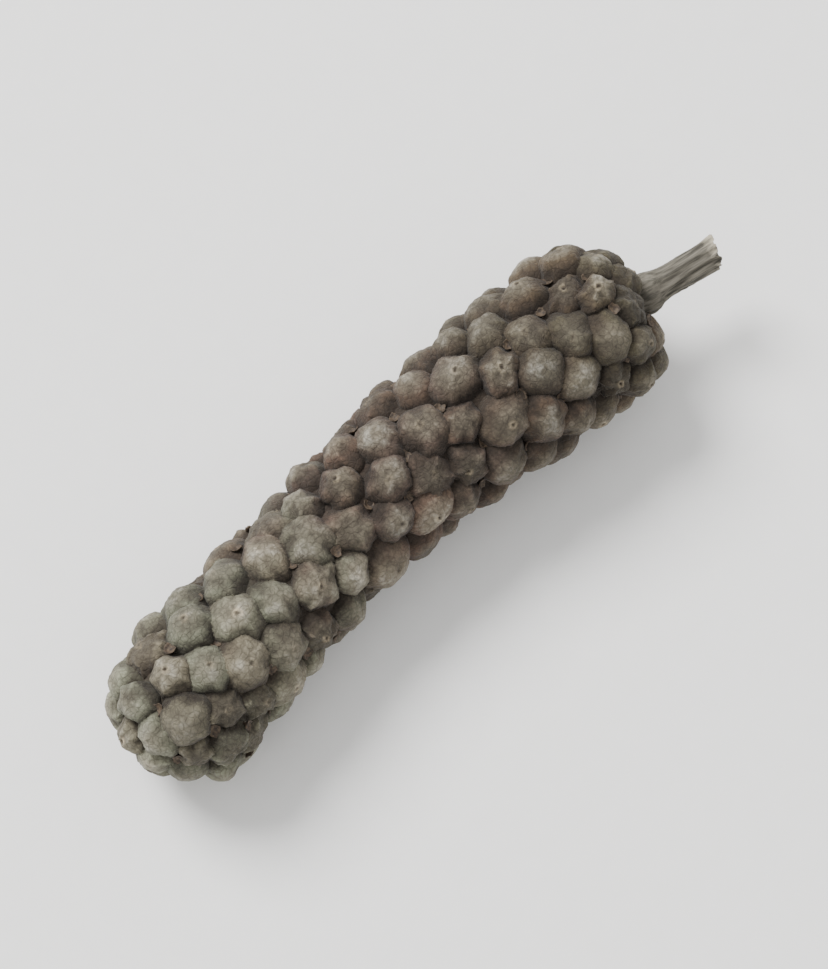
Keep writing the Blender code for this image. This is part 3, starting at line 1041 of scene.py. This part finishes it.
# %% The stalk material
STREAK_WIDTH = 0.11 * MM  # coarser than the real 0.03 mm, so that the fibres show
STREAK_HEIGHT = 0.016 * MM
PATCH_WIDTH = 0.45 * MM  # patches of older bark, about a third of the stalk's width
STREAK_DARK, STREAK_PALE = linear("#3C3932"), linear("#716C61")
PATCH_COLOUR = linear("#4D4840")
BARE_COLOUR = linear("#B5AC97")
STREAKS, PATCHES, BARE_END = (0.36, 0.66), (0.50, 0.72, 0.0, 0.7), (0.98, 1.12, 0.0, 0.85)
FRAYED_EDGE = 0.25  # how far the fibres carry the bare end's colour back along the stalk


def stalk_material():
    bark, shader = new_material("dried_stalk_fibre", Roughness=0.80, Specular_IOR_Level=0.30)
    place = add_node(bark, "Attribute", attribute_name="fibre_place").outputs["Vector"]
    toward_end = add_node(bark, "Attribute", attribute_name="toward_end").outputs["Fac"]
    fibres = add_node(bark, "TexNoise", Vector=place, Scale=1 / STREAK_WIDTH, Detail=4.0, Roughness=0.6)
    patches = add_node(bark, "TexNoise", Vector=place, Scale=1 / PATCH_WIDTH, Detail=2.0)
    streak = add_node(bark, "MapRange", fibres, *STREAKS)
    colour = add_node(bark, "Mix", streak, STREAK_DARK, STREAK_PALE, data_type="RGBA")
    patch = add_node(bark, "MapRange", patches, *PATCHES)
    colour = add_node(bark, "Mix", patch, colour, PATCH_COLOUR, data_type="RGBA")
    bare = add_node(bark, "Math", fibres, FRAYED_EDGE, toward_end, operation="MULTIPLY_ADD")
    bare = add_node(bark, "MapRange", bare, *BARE_END)
    add_node(bark, "Mix", bare, colour, BARE_COLOUR, data_type="RGBA", into=shader.inputs["Base Color"])
    add_node(bark, "Bump", Height=fibres, Distance=STREAK_HEIGHT, Strength=0.8,
             into=shader.inputs["Normal"])
    return bark


dress(stalk, stalk_material())

# %% [markdown]
# ## Put the pieces on the solid model
#
# A pepper has no moving parts, so every piece rides on its one body. The fine pieces take the place
# of the plain solids, which stay only for weight and touch.

# %% Ride and replace
for piece, slot in ((fused, "dried_berry_skin"), (bracts, "dried_berry_skin"), (stalk, "dried_stalk")):
    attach(piece, "root")
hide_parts("fruit_spike")
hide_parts("stalk")
print("pieces:", [piece.name for piece in (fused, bracts, stalk)])

# %% [markdown]
# ## Table, light and camera
#
# The pepper is smaller than a fingertip, so this is close-up work: a pale sheet of paper under it,
# one large soft light from the upper left that lets every bead cast a short shadow into its gap,
# and a pale room that keeps the shadows open. A flat sheet would end in a horizon, so the paper
# sweeps up far round the pepper.
#
# The camera stands high and looks down along the slant that the pepper lies at. A wide lens up
# close would swell the near end, and a long one from further off keeps both ends at the same scale.

# %% The paper
FLAT_RADIUS = 0.45  # in metres, as are the next two
SWEEP_REACH, SWEEP_HEIGHT = 0.55, 0.60
SWEEP_RINGS, SWEEP_SIDES = 24, 96
PULP_WIDTH = 0.9 * MM  # clumps of fibre in the paper
PULP_DARK, PULP_PALE = linear("#EFEEEC"), linear("#F4F3F1")


def paper_mesh():
    """A round sheet, flat under the pepper and swept up far round it."""
    rings = []
    for k in range(SWEEP_RINGS + 1):
        lean = math.pi / 2 * k / SWEEP_RINGS
        radius, height = FLAT_RADIUS + SWEEP_REACH * math.sin(lean), SWEEP_HEIGHT * (1 - math.cos(lean))
        rings.append([(radius * math.cos(turn), radius * math.sin(turn), height)
                      for turn in full_circle(SWEEP_SIDES)])
    bm = bmesh.new()
    skin_over(bm, rings, (0, 0, 0))
    return ended(bm, "paper")


def paper_material():
    """Uncoated paper: matte, almost white, and not quite even."""
    material, shader = new_material("uncoated_paper", Roughness=0.9, Specular_IOR_Level=0.2)
    place = add_node(material, "TexCoord").outputs["Object"]
    pulp = add_node(material, "TexNoise", Vector=place, Scale=1 / PULP_WIDTH, Detail=3.0)
    add_node(material, "Mix", pulp, PULP_DARK, PULP_PALE, data_type="RGBA",
             into=shader.inputs["Base Color"])
    return material


sheet = new_piece("paper_floor", paper_mesh())
sheet.data.shade_smooth()
dress(sheet, paper_material())
sheet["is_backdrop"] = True

# %% The camera
YAW = math.radians(44.4)  # how far the picture is turned against the spike
ELEVATION = math.radians(72)
LENS, SENSOR = 150, 36  # in mm
VIEW_WIDTH = 25 * MM
TARGET = Vector((0, 0, 2.5)) * MM  # about the middle of the pepper
NEAREST, FURTHEST = 5 * MM, 5  # what the camera can see, in metres
RIGHT = Vector((math.cos(YAW), -math.sin(YAW), 0))
AWAY = Vector((math.sin(YAW), math.cos(YAW), 0))
UP = Vector((0, 0, 1))


def aim(thing):
    """Turns a camera or a light to the target."""
    thing.rotation_euler = (TARGET - thing.location).to_track_quat("-Z", "Y").to_euler()


camera = new_piece("camera", bpy.data.cameras.new("camera"))
camera.data.sensor_fit = "HORIZONTAL"
camera.data.lens, camera.data.sensor_width = LENS, SENSOR
camera.data.clip_start, camera.data.clip_end = NEAREST, FURTHEST
toward_camera = math.sin(ELEVATION) * UP - math.cos(ELEVATION) * AWAY
camera.location = TARGET + toward_camera * VIEW_WIDTH * LENS / SENSOR
aim(camera)
bpy.context.scene.camera = camera
print("camera at, in mm:", in_mm(camera.location, 1))

# %% The lights
KEY_DIRECTION = -0.6 * RIGHT + 0.5 * AWAY + 0.9 * UP
KEY_DISTANCE, KEY_SIZE = 400 * MM, 200 * MM
KEY_POWER = 2.8  # in watts
ROOM_COLOUR, ROOM_STRENGTH = linear("#F2F3F4"), 1.17

key = new_piece("soft_key", bpy.data.lights.new("soft_key", "AREA"))
key.data.shape, key.data.size, key.data.energy = "DISK", KEY_SIZE, KEY_POWER
key.location = TARGET + KEY_DIRECTION.normalized() * KEY_DISTANCE
aim(key)
print("key light at, in mm:", in_mm(key.location, 1))

world = bpy.data.worlds.new("pale_room")
bpy.context.scene.world = world
world.use_nodes = True
background = world.node_tree.nodes["Background"]
background.inputs["Color"].default_value = ROOM_COLOUR
background.inputs["Strength"].default_value = ROOM_STRENGTH

# %% [markdown]
# ## The size, and the end
#
# The dressed pepper should stay inside the solid model's box, so both boxes are printed and can be
# compared.

# %% Sizes, and the end
dressed_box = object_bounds()
print("dressed box in mm:", [in_mm(corner, 3) for corner in dressed_box])
